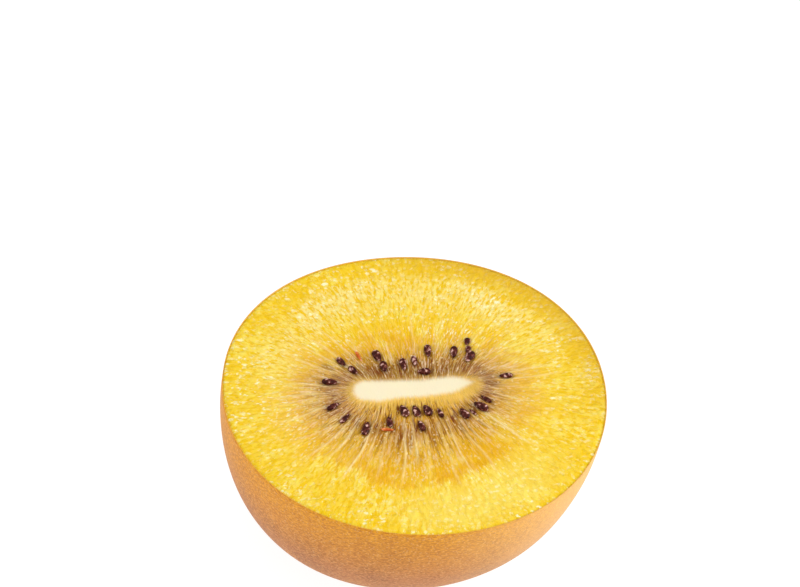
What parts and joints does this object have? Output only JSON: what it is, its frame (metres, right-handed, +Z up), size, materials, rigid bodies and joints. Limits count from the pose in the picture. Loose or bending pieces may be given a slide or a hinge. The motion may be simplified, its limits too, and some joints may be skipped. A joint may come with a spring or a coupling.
{
  "type": "golden kiwi fruit half",
  "caption": "Half of a golden kiwi fruit, cut across and standing on its stem end: golden rayed flesh, pale oval core, a ring of dark seeds and thin brown skin.",
  "frame": {"origin": "on the surface that the half stands on, under the middle of its box; the flat spot at its stem end is about 3.5 mm towards -X from there", "axes": "+Z up, square to the level cut face; +X roughly along the cut face's longer diameter and the core; +Y away from the side shown first"},
  "size_m": [0.0516, 0.048, 0.027],
  "materials": {
    "flesh": "satin",
    "skin": "matte",
    "seed": "gloss"
  },
  "bodies": {
    "root": {"kiwi_half": "flesh"}
  },
  "joints": []
}
